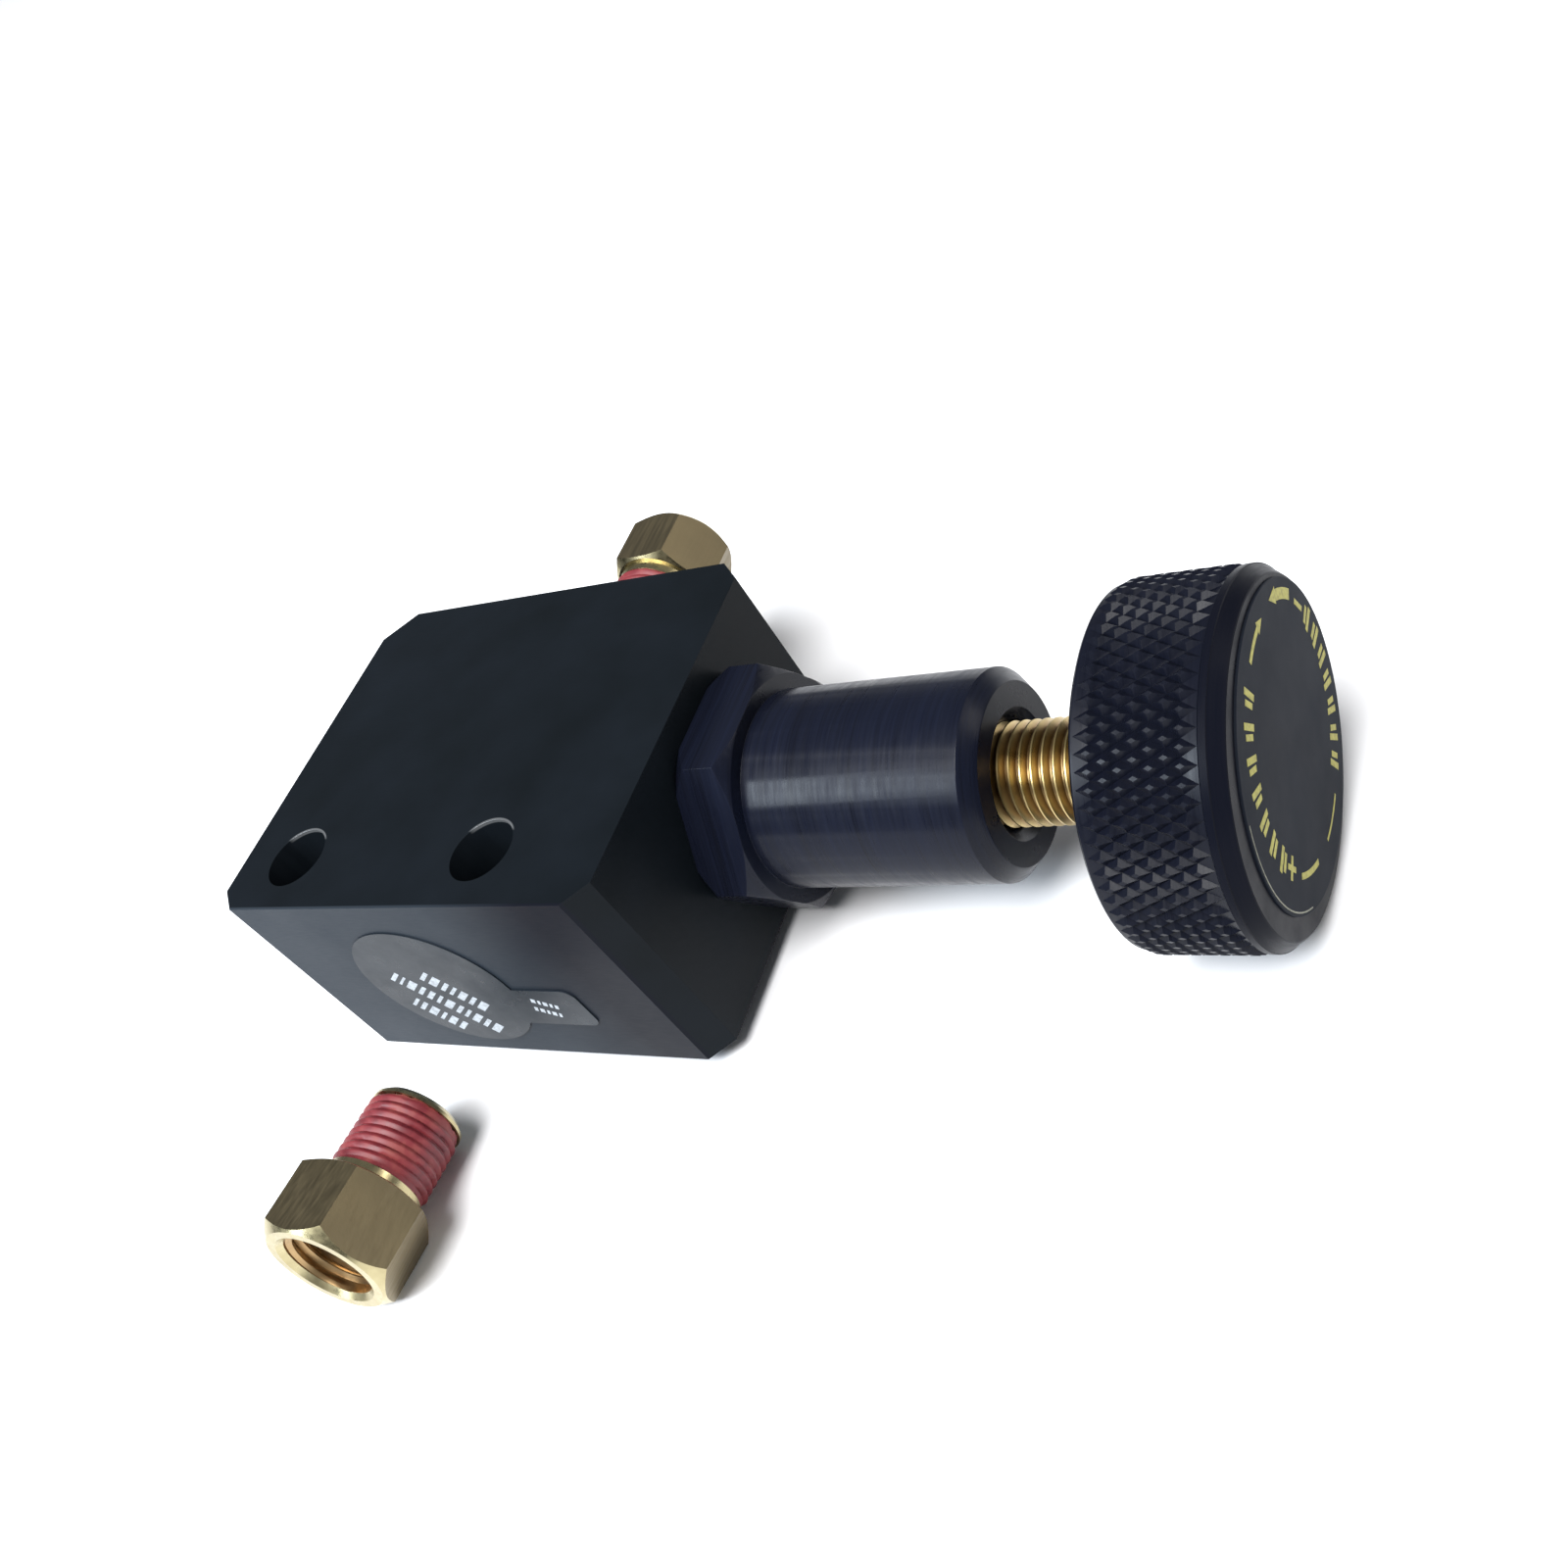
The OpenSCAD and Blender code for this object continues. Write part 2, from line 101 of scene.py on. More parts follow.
# ---------------------------------------------------------------- material graphs
class Graph:
    """A Principled material whose textures read the object's own coordinates, which are the row frame."""

    def __init__(self, name, color, rough, metallic=0.0, **sockets):
        self.mat = bpy.data.materials.new(name)
        self.mat.use_nodes = True
        self.tree = self.mat.node_tree
        self.bsdf = next(n for n in self.tree.nodes if n.type == "BSDF_PRINCIPLED")
        self.place = self.add("ShaderNodeTexCoord").outputs["Object"]
        self.bsdf.inputs["Base Color"].default_value = (*color, 1)
        self.bsdf.inputs["Roughness"].default_value = rough
        self.bsdf.inputs["Metallic"].default_value = metallic
        for key, value in sockets.items():
            self.bsdf.inputs[key.replace("_", " ")].default_value = value

    def add(self, kind, **settings):
        made = self.tree.nodes.new(kind)
        for key, value in settings.items():
            setattr(made, key, value)
        return made

    def link(self, source, target):
        self.tree.links.new(source, target)

    def feed(self, socket, value):
        if isinstance(value, bpy.types.NodeSocket):
            self.link(value, socket)
        else:
            socket.default_value = value

    def math(self, kind, a, b):
        n = self.add("ShaderNodeMath", operation=kind)
        self.feed(n.inputs[0], a)
        self.feed(n.inputs[1], b)
        return n.outputs[0]

    def stretched(self, scale, shift=(0, 0, 0)):
        """The row frame's coordinates times scale, for noise drawn out along an axis."""
        n = self.add("ShaderNodeMapping")
        self.link(self.place, n.inputs["Vector"])
        n.inputs["Scale"].default_value = scale
        n.inputs["Location"].default_value = shift
        return n.outputs[0]

    def noise(self, scale, detail=3.0, rough=0.55, where=None):
        n = self.add("ShaderNodeTexNoise")
        self.link(where or self.place, n.inputs["Vector"])
        n.inputs["Scale"].default_value = scale
        n.inputs["Detail"].default_value = detail
        n.inputs["Roughness"].default_value = rough
        return n.outputs["Fac"]

    def map(self, value, low, high, to_low, to_high):
        n = self.add("ShaderNodeMapRange")
        self.feed(n.inputs["Value"], value)
        for key, number in (("From Min", low), ("From Max", high), ("To Min", to_low), ("To Max", to_high)):
            n.inputs[key].default_value = number
        return n.outputs["Result"]

    def ramp(self, value, *stops):
        n = self.add("ShaderNodeValToRGB")
        self.feed(n.inputs["Fac"], value)
        bar = n.color_ramp.elements
        while len(bar) < len(stops):
            bar.new(0.5)
        for stop, (at, color) in zip(bar, stops):
            stop.position = at
            stop.color = (*color, 1)
        return n.outputs["Color"]

    def mix(self, fac, a, b):
        n = self.add("ShaderNodeMix", data_type="RGBA")
        self.feed(n.inputs["Factor"], fac)
        self.feed(n.inputs["A"], a if isinstance(a, bpy.types.NodeSocket) else (*a, 1))
        self.feed(n.inputs["B"], b if isinstance(b, bpy.types.NodeSocket) else (*b, 1))
        return n.outputs["Result"]

    def radius(self, centre, along):
        """Distance from the axis through centre, in metres."""
        rel = self.add("ShaderNodeVectorMath", operation="SUBTRACT")
        self.link(self.place, rel.inputs[0])
        rel.inputs[1].default_value = centre
        across = self.add("ShaderNodeVectorMath", operation="CROSS_PRODUCT")
        self.link(rel.outputs[0], across.inputs[0])
        across.inputs[1].default_value = along
        size = self.add("ShaderNodeVectorMath", operation="LENGTH")
        self.link(across.outputs[0], size.inputs[0])
        return size.outputs["Value"]

    def axis_value(self, which):
        n = self.add("ShaderNodeSeparateXYZ")
        self.link(self.place, n.inputs[0])
        return n.outputs[which]

    def color(self, value):
        self.link(value, self.bsdf.inputs["Base Color"])

    def rough(self, value):
        self.link(value, self.bsdf.inputs["Roughness"])

    def bump(self, height, distance, strength=1.0, after=None):
        n = self.add("ShaderNodeBump")
        n.inputs["Strength"].default_value = strength
        n.inputs["Distance"].default_value = distance
        self.link(height, n.inputs["Height"])
        if after:
            self.link(after, n.inputs["Normal"])
        self.link(n.outputs["Normal"], self.bsdf.inputs["Normal"])
        return n.outputs["Normal"]


def anodised():
    """Black anodised, fine-milled block."""
    g = Graph("black_anodised", (0.010, 0.011, 0.014), 0.42, Specular_IOR_Level=0.42)
    cloud = g.noise(90, 4)
    grain = g.noise(1.0, 3, where=g.stretched((700, 5200, 5200)))
    base = g.ramp(cloud, (0.3, (0.0040, 0.0056, 0.0072)), (0.7, (0.0060, 0.0082, 0.0112)))
    x, y, z = g.axis_value("X"), g.axis_value("Y"), g.axis_value("Z")
    # painted highlight: a pale, metallic crescent on the far side of each hole's rim, where light catches
    # the chamfer; bare metal in chips along the upper front edge
    rims = 0.0
    for side in (-1, 1):
        rim = g.radius((side * HOLE_X, 0, 0), (0, 0, 1))
        near = g.map(rim, HOLE_R + 0.10 * MM, HOLE_R + 0.24 * MM, 1, 0)
        rims = g.math("ADD", near, rims)
    far_side = g.map(y, 2.2 * MM, 3.0 * MM, 0, 1)
    at_top = g.map(z, BLOCK_HI.z - 0.4 * MM, BLOCK_HI.z - 0.2 * MM, 0, 1)
    painted_rim_highlight = g.math("MULTIPLY", g.math("MULTIPLY", rims, far_side), at_top)
    edge_y = g.map(y, BLOCK_LO.y + 0.20 * MM, BLOCK_LO.y + 0.32 * MM, 1, 0)
    edge_z = g.map(z, BLOCK_HI.z - 0.32 * MM, BLOCK_HI.z - 0.20 * MM, 0, 1)
    spots = g.map(g.noise(1.0, 2, where=g.stretched((330, 900, 900))), 0.70, 0.74, 0, 1)
    chips = g.math("MULTIPLY", g.math("MULTIPLY", edge_y, edge_z), spots)
    # the pale metal mix covers the chips and the painted rim highlight
    chips_and_rim_highlight = g.math("MAXIMUM", g.math("MULTIPLY", painted_rim_highlight, 0.8), chips)
    # painted reflection: the face with the sticker gets a lighter grey base colour as a painted sheen,
    # which fades towards the knob
    front = g.map(y, BLOCK_LO.y + 0.22 * MM, BLOCK_LO.y + 0.34 * MM, 1, 0)
    painted_sheen = g.ramp(g.map(x, BLOCK_LO.x, BLOCK_HI.x, 0, 1),
                   (0.1, (0.024, 0.031, 0.040)), (0.6, (0.019, 0.025, 0.033)),
                   (0.85, (0.006, 0.007, 0.011)))
    g.color(g.mix(chips_and_rim_highlight, g.mix(front, base, painted_sheen), (0.30, 0.31, 0.32)))
    g.link(g.map(front, 0, 1, 0.06, 0.05), g.bsdf.inputs["Specular IOR Level"])
    uneven = g.math("ADD", g.math("MULTIPLY", cloud, 0.6), g.math("MULTIPLY", grain, 0.4))
    g.rough(g.map(uneven, 0.3, 0.7, 0.36, 0.50))
    fine = g.bump(grain, 0.004 * MM, 0.35)
    g.bump(g.noise(7000, 2), 0.003 * MM, 0.3, fine)
    g.link(chips_and_rim_highlight, g.bsdf.inputs["Metallic"])
    return g.mat


def anodised_turned(name, blue, shine=0.14):
    """Black anodised over turning marks, which run round the valve axis."""
    g = Graph(name, (0.010, 0.011, 0.016), 0.36, Specular_IOR_Level=shine)
    marks = g.noise(1.0, 4, 0.7, where=g.stretched((3600, 60, 60)))
    bands = g.noise(1.0, 2, 0.5, where=g.stretched((520, 25, 25), (3, 1, 0)))
    worn = g.noise(1.0, 4, 0.6, where=g.stretched((1500, 240, 240), (0, 7, 2)))
    both = g.math("ADD", g.math("MULTIPLY", marks, 0.6), g.math("MULTIPLY", bands, 0.4))
    g.color(g.ramp(both, (0.35, (0.0035, 0.0042, 0.0080)), (0.7, blue)))
    g.rough(g.map(g.math("MULTIPLY", both, worn), 0.12, 0.40, 0.22, 0.42))
    g.bump(marks, 0.006 * MM, 0.6)
    return g.mat


def stem_brass():
    """Brass screw thread: bright crests, and roots darkened by depth as painted shade."""
    g = Graph("stem_brass", (0.70, 0.48, 0.19), 0.32, 1.0)
    high = g.radius((0, AXIS_Y, AXIS_Z), (1, 0, 0))
    stain = g.noise(420, 4)
    # painted shade: the colour darkens from the crests down into the thread's roots
    depth = g.map(high, STEM_R - UNF_DEPTH, STEM_R, 0, 1)
    base = g.ramp(depth,
                  (0.0, (0.13, 0.080, 0.034)), (0.45, (0.30, 0.205, 0.090)), (1.0, (0.50, 0.385, 0.175)))
    g.color(g.mix(g.map(stain, 0.35, 0.7, 0.0, 0.40), base, (0.27, 0.190, 0.085)))
    g.rough(g.map(stain, 0.3, 0.7, 0.24, 0.42))
    g.bump(g.noise(5200, 2), 0.004 * MM, 0.4)
    return g.mat


def fitting_brass():
    """Olive, dull brass of the fittings' flats, painted darker than the bevels as painted shade, where the
    flats reflect the dark room.
    """
    g = Graph("fitting_brass", (0.30, 0.25, 0.14), 0.42, 1.0)
    cloud = g.noise(160, 4)
    drawn = g.noise(1.0, 3, where=g.stretched((2600, 180, 2600)))
    g.color(g.ramp(cloud,
                   (0.25, (0.20, 0.162, 0.096)), (0.6, (0.23, 0.186, 0.108)), (0.85, (0.26, 0.206, 0.118))))
    g.rough(g.map(drawn, 0.3, 0.7, 0.34, 0.52))
    g.bump(drawn, 0.005 * MM, 0.4)
    return g.mat


def bevel_brass_painted_reflection():
    """Pale brass of the bevels and threads, painted lighter than the flats as a painted reflection of the
    pale table.
    """
    g = Graph("bevel_brass_painted_reflection", (0.60, 0.53, 0.30), 0.34, 1.0)
    cloud = g.noise(260, 4)
    g.color(g.ramp(cloud,
                   (0.3, (0.36, 0.300, 0.165)), (0.65, (0.47, 0.410, 0.235)), (0.9, (0.46, 0.435, 0.270))))
    g.rough(g.map(g.noise(900, 3), 0.3, 0.7, 0.22, 0.38))
    g.bump(g.noise(4200, 2), 0.004 * MM, 0.4)
    return g.mat


def mouth_brass():
    """Brown-gold brass down inside the fittings' mouths."""
    g = Graph("mouth_brass", (0.40, 0.27, 0.13), 0.36, 1.0)
    cloud = g.noise(330, 4)
    g.color(g.ramp(cloud, (0.3, (0.30, 0.19, 0.09)), (0.7, (0.46, 0.32, 0.16))))
    g.rough(g.map(cloud, 0.3, 0.7, 0.28, 0.44))
    g.bump(g.noise(4200, 2), 0.004 * MM, 0.4)
    return g.mat


def sealant_red():
    """Waxy, blotchy red thread sealant."""
    g = Graph("thread_sealant", (0.38, 0.045, 0.060), 0.46, Specular_IOR_Level=0.40)
    blot = g.noise(520, 4)
    g.color(g.ramp(blot,
                   (0.3, (0.105, 0.012, 0.017)), (0.55, (0.175, 0.021, 0.026)),
                   (0.85, (0.25, 0.062, 0.050))))
    g.rough(g.map(blot, 0.3, 0.7, 0.38, 0.58))
    g.bump(g.noise(1900, 3), 0.02 * MM, 0.5)
    return g.mat


def label_metal():
    """Dark, blue-grey satin face of the knob's label."""
    g = Graph("knob_label", (0.011, 0.013, 0.019), 0.40, Specular_IOR_Level=0.012)
    cloud = g.noise(70, 3)
    g.color(g.ramp(cloud, (0.3, (0.009, 0.011, 0.016)), (0.7, (0.013, 0.016, 0.023))))
    g.rough(g.map(g.noise(160, 3), 0.3, 0.7, 0.36, 0.44))
    g.bump(g.noise(900, 2), 0.002 * MM, 0.2)
    return g.mat


def printed(name, color, rough=0.5):
    """Matt ink of the printed marks; also of the pale line by the label's edge, which is a painted
    highlight.
    """
    g = Graph(name, color, rough, Specular_IOR_Level=0.15)
    worn = g.noise(2600, 3)
    darker = tuple(c * 0.62 for c in color)
    g.color(g.ramp(worn, (0.32, darker), (0.6, color)))
    g.bump(worn, 0.004 * MM, 0.3)
    return g.mat


def film():
    """Dark, smooth film of the port sticker."""
    g = Graph("clear_sticker", (0.016, 0.021, 0.027), 0.30, Specular_IOR_Level=0.10)
    cloud = g.noise(120, 3)
    g.color(g.ramp(cloud, (0.3, (0.010, 0.014, 0.019)), (0.7, (0.015, 0.020, 0.026))))
    g.rough(g.map(g.noise(380, 3), 0.3, 0.7, 0.24, 0.38))
    g.bump(g.noise(240, 3), 0.004 * MM, 0.3)
    return g.mat


def machined(name, color, rough):
    """Plain machined part inside the valve."""
    g = Graph(name, color, rough, 1.0)
    marks = g.noise(1.0, 3, where=g.stretched((3000, 200, 200)))
    g.color(g.ramp(marks, (0.3, tuple(c * 0.8 for c in color)), (0.7, color)))
    g.rough(g.map(marks, 0.3, 0.7, rough * 0.8, rough * 1.25))
    g.bump(marks, 0.005 * MM, 0.4)
    return g.mat


def rubber():
    """Matt black rubber of the seals."""
    g = Graph("rubber", (0.014, 0.014, 0.014), 0.62)
    grain = g.noise(2400, 3)
    g.color(g.ramp(grain, (0.3, (0.010, 0.010, 0.010)), (0.7, (0.020, 0.020, 0.021))))
    g.bump(grain, 0.01 * MM, 0.5)
    return g.mat


def table_white():
    """Plain pale table top."""
    g = Graph("table_white", (0.86, 0.86, 0.87), 0.75)
    g.color(g.ramp(g.noise(9, 3), (0.3, (0.85, 0.85, 0.86)), (0.7, (0.88, 0.88, 0.89))))
    return g.mat


ANODISED = anodised()
BONNET_BLACK = anodised_turned("black_anodised_turned", (0.0060, 0.0080, 0.0180))
KNOB_BLACK = anodised_turned("knob_black", (0.0050, 0.0060, 0.0120))
# painted shade: a darker, duller copy of the knob's black for its front land, bevel and face
KNOB_FRONT_PAINTED_SHADE = anodised_turned("knob_front_painted_shade", (0.0050, 0.0055, 0.0090), 0.03)
STEM_BRASS = stem_brass()
# painted shade and painted reflection: the fittings' flats get a darker brass, their bevels and threads a
# paler one
FLAT_BRASS_PAINTED_SHADE = fitting_brass()
BEVEL_BRASS_PAINTED_REFLECTION = bevel_brass_painted_reflection()
MOUTH_BRASS = mouth_brass()
SEALANT = sealant_red()
LABEL = label_metal()
GOLD = printed("label_gold", (0.36, 0.33, 0.060), 0.45)
# painted highlight: pale ink for the line along part of the label's edge
RIM = printed("label_rim_painted_highlight", (0.20, 0.20, 0.15), 0.45)
FILM = film()
WHITE = printed("sticker_white", (0.46, 0.50, 0.54), 0.5)
BUSH_BRASS = machined("bush_brass", (0.62, 0.46, 0.20), 0.32)
STEEL = machined("steel", (0.55, 0.56, 0.58), 0.28)
SPRING_STEEL = machined("spring_steel", (0.45, 0.46, 0.48), 0.36)
RUBBER = rubber()
TABLE = table_white()


# ---------------------------------------------------------------- mesh helpers, in a frame along +Z
NEAR_AXIS = 0.2 * MM  # a closed solid of revolution stops this close to its axis


def rings(bm, loops, closed=False, slot=0):
    """Skins a list of equal loops of points, and returns the faces.

    closed joins the last loop to the first; otherwise both ends are capped."""
    made = [[bm.verts.new(p) for p in loop] for loop in loops]
    pairs = list(zip(made, made[1:] + made[:1])) if closed else list(zip(made, made[1:]))
    count = len(made[0])
    faces = []
    for a, b in pairs:
        for i in range(count):
            j = (i + 1) % count
            faces.append(bm.faces.new((a[i], a[j], b[j], b[i])))
    if not closed:
        faces.append(bm.faces.new(list(reversed(made[0]))))
        faces.append(bm.faces.new(made[-1]))
    for f in faces:
        f.material_index = slot
    return faces


def circle(r, z, count):
    angles = [TAU * i / count for i in range(count)]
    return [Vector((r * math.cos(a), r * math.sin(a), z)) for a in angles]


def turned(bm, profile, count=96, closed=False, slot=0):
    """Solid or tube of revolution from (radius, height) points."""
    return rings(bm, [circle(r, z, count) for r, z in profile], closed, slot)


RUN_OUT = 0.35  # share of a turn over which a ridge grows from nothing, at each end
FOOT = 0.12 * MM  # depth that a ridge's foot is sunk


def ridge(bm, root_r, crest_r, z0, z1, pitch, taper=0.0, slot=0, count=60,
          wobble=0.0, flat=0.125, fill=0.86):
    """Right-hand screw ridge from z0 to z1, a closed shell whose foot is sunk into the core or the wall.

    flat and fill are the crest's and the foot's widths as shares of the pitch."""
    out = 1 if crest_r > root_r else -1
    steps = int(round(count * (z1 - z0) / pitch))
    loops = []
    for i in range(steps + 1):
        z = z0 + (z1 - z0) * i / steps
        a = TAU * i / count
        grow = min(1.0, i / (count * RUN_OUT), (steps - i) / (count * RUN_OUT))
        lean = taper * (z - z0)
        shake = wobble * noise.noise(Vector((math.cos(a) * 3, math.sin(a) * 3, z / pitch)))
        crest = root_r + (crest_r - root_r) * max(grow, 0.02) + lean + out * shake
        foot = root_r - out * FOOT + lean
        section = ((foot, -fill / 2), (root_r + lean, -fill / 2), (crest, -flat / 2),
                   (crest, flat / 2), (root_r + lean, fill / 2), (foot, fill / 2))
        loops.append([Vector((r * math.cos(a), r * math.sin(a), z + w * pitch)) for r, w in section])
    return rings(bm, loops, slot=slot)


def hex_radius(a, flats):
    """Distance from the middle to the hexagon's side, in the direction a."""
    sixth = TAU / 6
    return flats / 2 / math.cos(a % sixth - sixth / 2)


def soften(bm, width, angle=SHARP):
    """Rounds every edge sharper than angle."""
    edges = [e for e in bm.edges if len(e.link_faces) == 2 and e.calc_face_angle(0) > angle]
    bmesh.ops.bevel(bm, geom=edges, offset=width, segments=2, profile=0.6, affect="EDGES",
                    clamp_overlap=True, material=-1)


def merge(bm, other):
    """Adds the other mesh's shells to bm."""
    spare = bpy.data.meshes.new("spare")
    other.to_mesh(spare)
    other.free()
    bm.from_mesh(spare)
    bpy.data.meshes.remove(spare)


def shape(name, bm, materials, place=Matrix.Identity(4), sharp=SHARP):
    """Finishes a mesh as an object in the row frame."""
    bmesh.ops.recalc_face_normals(bm, faces=bm.faces)
    bm.transform(place)
    mesh = bpy.data.meshes.new(name)
    bm.to_mesh(mesh)
    bm.free()
    for m in materials:
        mesh.materials.append(m)
    mesh.shade_smooth()
    mesh.set_sharp_from_angle(angle=sharp)
    made = bpy.data.objects.new(name, mesh)
    bpy.context.scene.collection.objects.link(made)
    return made


def piece(name, bm, materials, body, place=Matrix.Identity(4), replaces=(), sharp=SHARP):
    """Finishes a mesh as an object of the model, riding a body."""
    made = shape(name, bm, materials, place, sharp)
    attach(made, body)
    if replaces:
        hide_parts(*replaces)


def turn(angle, axis):
    return Matrix.Rotation(angle, 4, axis)


def on_axis(x):
    """Puts a shape drawn up +Z on the valve axis at x, growing towards the knob."""
    return Matrix.Translation((x, AXIS_Y, AXIS_Z)) @ turn(QUARTER, "Y")


# ---------------------------------------------------------------- adjusting stem
BALL_SOCKET = (2.48 * MM, 1.8 * MM)  # radius, depth
STEM_BEVEL = 0.3 * MM
STEM_PLAIN = 0.6 * MM  # plain length at each end of the thread


def build_stem():
    """Threaded stem, with the thrust ball's socket in its inner end."""
    length = STEM_HI.x - STEM_LO.x
    core_r = STEM_R - UNF_DEPTH
    socket_r, socket = BALL_SOCKET
    profile = [(socket_r, socket), (socket_r, 0), (core_r, 0), (core_r, length - STEM_BEVEL),
               (core_r - STEM_BEVEL, length), (NEAR_AXIS, length), (NEAR_AXIS, socket)]
    bm = bmesh.new()
    turned(bm, profile, 72, closed=True)
    ridge(bm, core_r, STEM_R, STEM_PLAIN, length - STEM_PLAIN, UNF_PITCH, count=72)
    piece("stem_thread", bm, [STEM_BRASS], "adjuster", on_axis(STEM_LO.x),
          ["adjusting_stem"])


# ---------------------------------------------------------------- knob
KNURL_STARTS = 70
COLUMNS = 2 * KNURL_STARTS
KNURL_ROWS = 8
KNURL_DEPTH = 0.50 * MM
KNURL_TOP_DROP = 0.02 * MM
KNURL_RIM_LIFT = 0.10 * MM  # the grooves are this much shallower at both ends
DIAMOND = ((1, 0), (0, 1), (-1, 0), (0, -1))  # its four corners, in columns and rows
DIAMOND_TOP = 0.30  # size of its flat top against its foot
KNOB_ROUND = 1.0 * MM
KNOB_BEVEL = (1.2 * MM, 1.0 * MM)  # along the axis, towards the axis
KNOB_EDGE = 0.06 * MM
LAND = 0.75 * MM
LAND_DROP = 0.12 * MM
KNOB_BORE = 10 * MM
KNOB_BORE_PLAY = 0.05 * MM
BORE_RING = (1.4 * MM, 1.1 * MM, 0.35 * MM)  # recess round the bore: outer and inner widths, depth


def knurl(bm, z_a, z_b):
    """Diamond knurl between two heights. Returns its rear and front rims."""
    groove_r = KNOB_R - KNURL_DEPTH
    top_r = KNOB_R - KNURL_TOP_DROP

    def point(col, row, r):
        a = TAU * col / COLUMNS
        return Vector((r * math.cos(a), r * math.sin(a), z_a + (z_b - z_a) * row / KNURL_ROWS))

    # groove crossings, and every column at the two rims
    grooves = {}
    for row in range(KNURL_ROWS + 1):
        rim = row in (0, KNURL_ROWS)
        r = groove_r + (KNURL_RIM_LIFT if rim else 0)
        for col in range(COLUMNS):
            if rim or (col + row) % 2 == 0:
                grooves[col, row] = bm.verts.new(point(col, row, r))

    # pyramids with small flat tops, between the crossings
    for row in range(1, KNURL_ROWS):
        for col in range(COLUMNS):
            if (col + row) % 2 == 0:
                continue
            base = [grooves[(col + dc) % COLUMNS, row + dr] for dc, dr in DIAMOND]
            tip = [bm.verts.new(point(col + dc * DIAMOND_TOP, row + dr * DIAMOND_TOP, top_r))
                   for dc, dr in DIAMOND]
            for i in range(4):
                j = (i + 1) % 4
                bm.faces.new((base[i], base[j], tip[j], tip[i]))
            bm.faces.new(tip)

    # half diamonds left along the two rims
    for row, inner in ((0, 1), (KNURL_ROWS, KNURL_ROWS - 1)):
        for col in range(COLUMNS):
            if (col + inner) % 2 == 0:
                left = grooves[(col - 1) % COLUMNS, row]
                right = grooves[(col + 1) % COLUMNS, row]
                bm.faces.new((left, grooves[col, row], grooves[col, inner]))
                bm.faces.new((grooves[col, row], right, grooves[col, inner]))
    return [[grooves[col, row] for col in range(COLUMNS)] for row in (0, KNURL_ROWS)]


def build_knob():
    """Knob: rounded rear edge, bore for the stem, knurl, and a plain land and bevel round its face."""
    length = KNOB_HI.x - KNOB_LO.x
    land_z = length - KNOB_BEVEL[0]
    knurl_end = land_z - LAND
    bm = bmesh.new()
    rear_rim, front_rim = knurl(bm, KNOB_ROUND * 0.55, knurl_end)

    def ring(r, z):
        return [bm.verts.new(p) for p in circle(r, z, COLUMNS)]

    def skin(loops, slot=0):
        for a, b in zip(loops, loops[1:]):
            for c in range(COLUMNS):
                d = (c + 1) % COLUMNS
                bm.faces.new((a[c], a[d], b[d], b[c])).material_index = slot

    # from the rear rim, round the rear edge, to the rear face and down the bore
    rear = [rear_rim]
    for k in range(1, 5):
        a = math.radians(25 + 65 * k / 4)
        out = (KNOB_ROUND - KNURL_DEPTH * 0.4) * math.cos(a)
        rear.append(ring(KNOB_R - KNOB_ROUND + out, KNOB_ROUND * (1 - math.sin(a))))
    bore_r = STEM_R + KNOB_BORE_PLAY
    outer, inner, depth = BORE_RING
    rear += [ring(bore_r + outer, 0), ring(bore_r + inner, depth), ring(bore_r, depth),
             ring(bore_r, KNOB_BORE), ring(NEAR_AXIS, KNOB_BORE)]
    skin(rear)
    bm.faces.new(rear[-1])

    # from the front rim to the land, the bevel and the front face, in a darker, duller copy of the knob's
    # black as painted shade
    land_r = KNOB_R - LAND_DROP
    face_r = KNOB_R - KNOB_BEVEL[1]
    front = [front_rim, ring(land_r, knurl_end + 0.18 * MM), ring(land_r, land_z),
             ring(land_r - 0.12 * MM, land_z + KNOB_EDGE), ring(face_r - 0.02 * MM, length - KNOB_EDGE),
             ring(face_r - 0.14 * MM, length), ring(LABEL_R * 0.5, length), ring(NEAR_AXIS, length)]
    skin(front, 1)
    bm.faces.new(list(reversed(front[-1]))).material_index = 1
    piece("knob_knurled", bm, [KNOB_BLACK, KNOB_FRONT_PAINTED_SHADE], "adjuster",
          on_axis(KNOB_LO.x), ["knob"], sharp=math.radians(20))


# ---------------------------------------------------------------- knob label and its marks
FOIL = 0.012 * MM
LABEL_Y = (LABEL_LO.y + LABEL_HI.y) / 2
LABEL_Z = (LABEL_LO.z + LABEL_HI.z) / 2
LABEL_FACE_X = LABEL_HI.x - FOIL
LABEL_HOLE = 0.5 * MM
# the printed ring: its radius, and how far it sits off the label's centre
MARKS_R = 11.1 * MM
MARKS_OFF = (0.8 * MM, 0.5 * MM)
# a pair of bars: degrees round the ring, then length and width in mm
BARS = ((-2.1, 2.2, 0.62), (2.1, 1.6, 0.56))


def build_label():
    """Round plate with an eased edge. A small plug closes its middle."""
    thick = LABEL_FACE_X - LABEL_LO.x
    plug_r = LABEL_HOLE + 0.02 * MM
    bm = bmesh.new()
    turned(bm, [(LABEL_R, 0), (LABEL_R, thick - 0.05 * MM), (LABEL_R - 0.06 * MM, thick),
                (LABEL_HOLE, thick), (LABEL_HOLE, 0)], 144, closed=True)
    turned(bm, [(plug_r, 0), (plug_r, thick)], 24)
    place = Matrix.Translation((LABEL_LO.x, LABEL_Y, LABEL_Z)) @ turn(QUARTER, "Y")
    piece("label_disc", bm, [LABEL], "adjuster", place, ["knob_label"])


